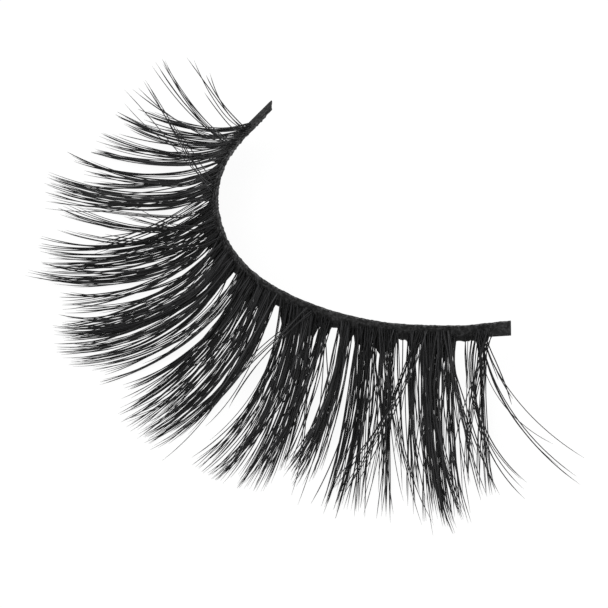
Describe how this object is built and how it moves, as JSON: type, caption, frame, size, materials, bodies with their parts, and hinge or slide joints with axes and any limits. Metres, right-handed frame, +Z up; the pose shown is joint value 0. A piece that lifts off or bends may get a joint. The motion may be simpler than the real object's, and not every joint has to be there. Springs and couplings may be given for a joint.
{
  "type": "false eyelash strip",
  "caption": "Strip of false eyelashes: a thin curved cotton band with a knotted thread rim and two rows of tapered hair locks that fan out, sink and curl up.",
  "frame": {"origin": "centre of the strip's footprint, on the surface that it lies on", "axes": "+Z up from that surface; the band runs from its inner corner at high Y round to its outer corner at high X, and the hair points to -X and -Y"},
  "size_m": [0.0364, 0.0382, 0.0044],
  "materials": {
    "band_cotton": "matte black cotton with fine fibres",
    "thread_cotton": "black knotted thread, a little lighter on its crests",
    "lower_hair": "fine black fibre with a soft sheen",
    "upper_hair": "fine black fibre with a soft sheen"
  },
  "bodies": {
    "root": {"band": "band_cotton", "knot_thread": "thread_cotton", "lower_lashes": "lower_hair", "upper_lashes": "upper_hair"}
  },
  "joints": []
}
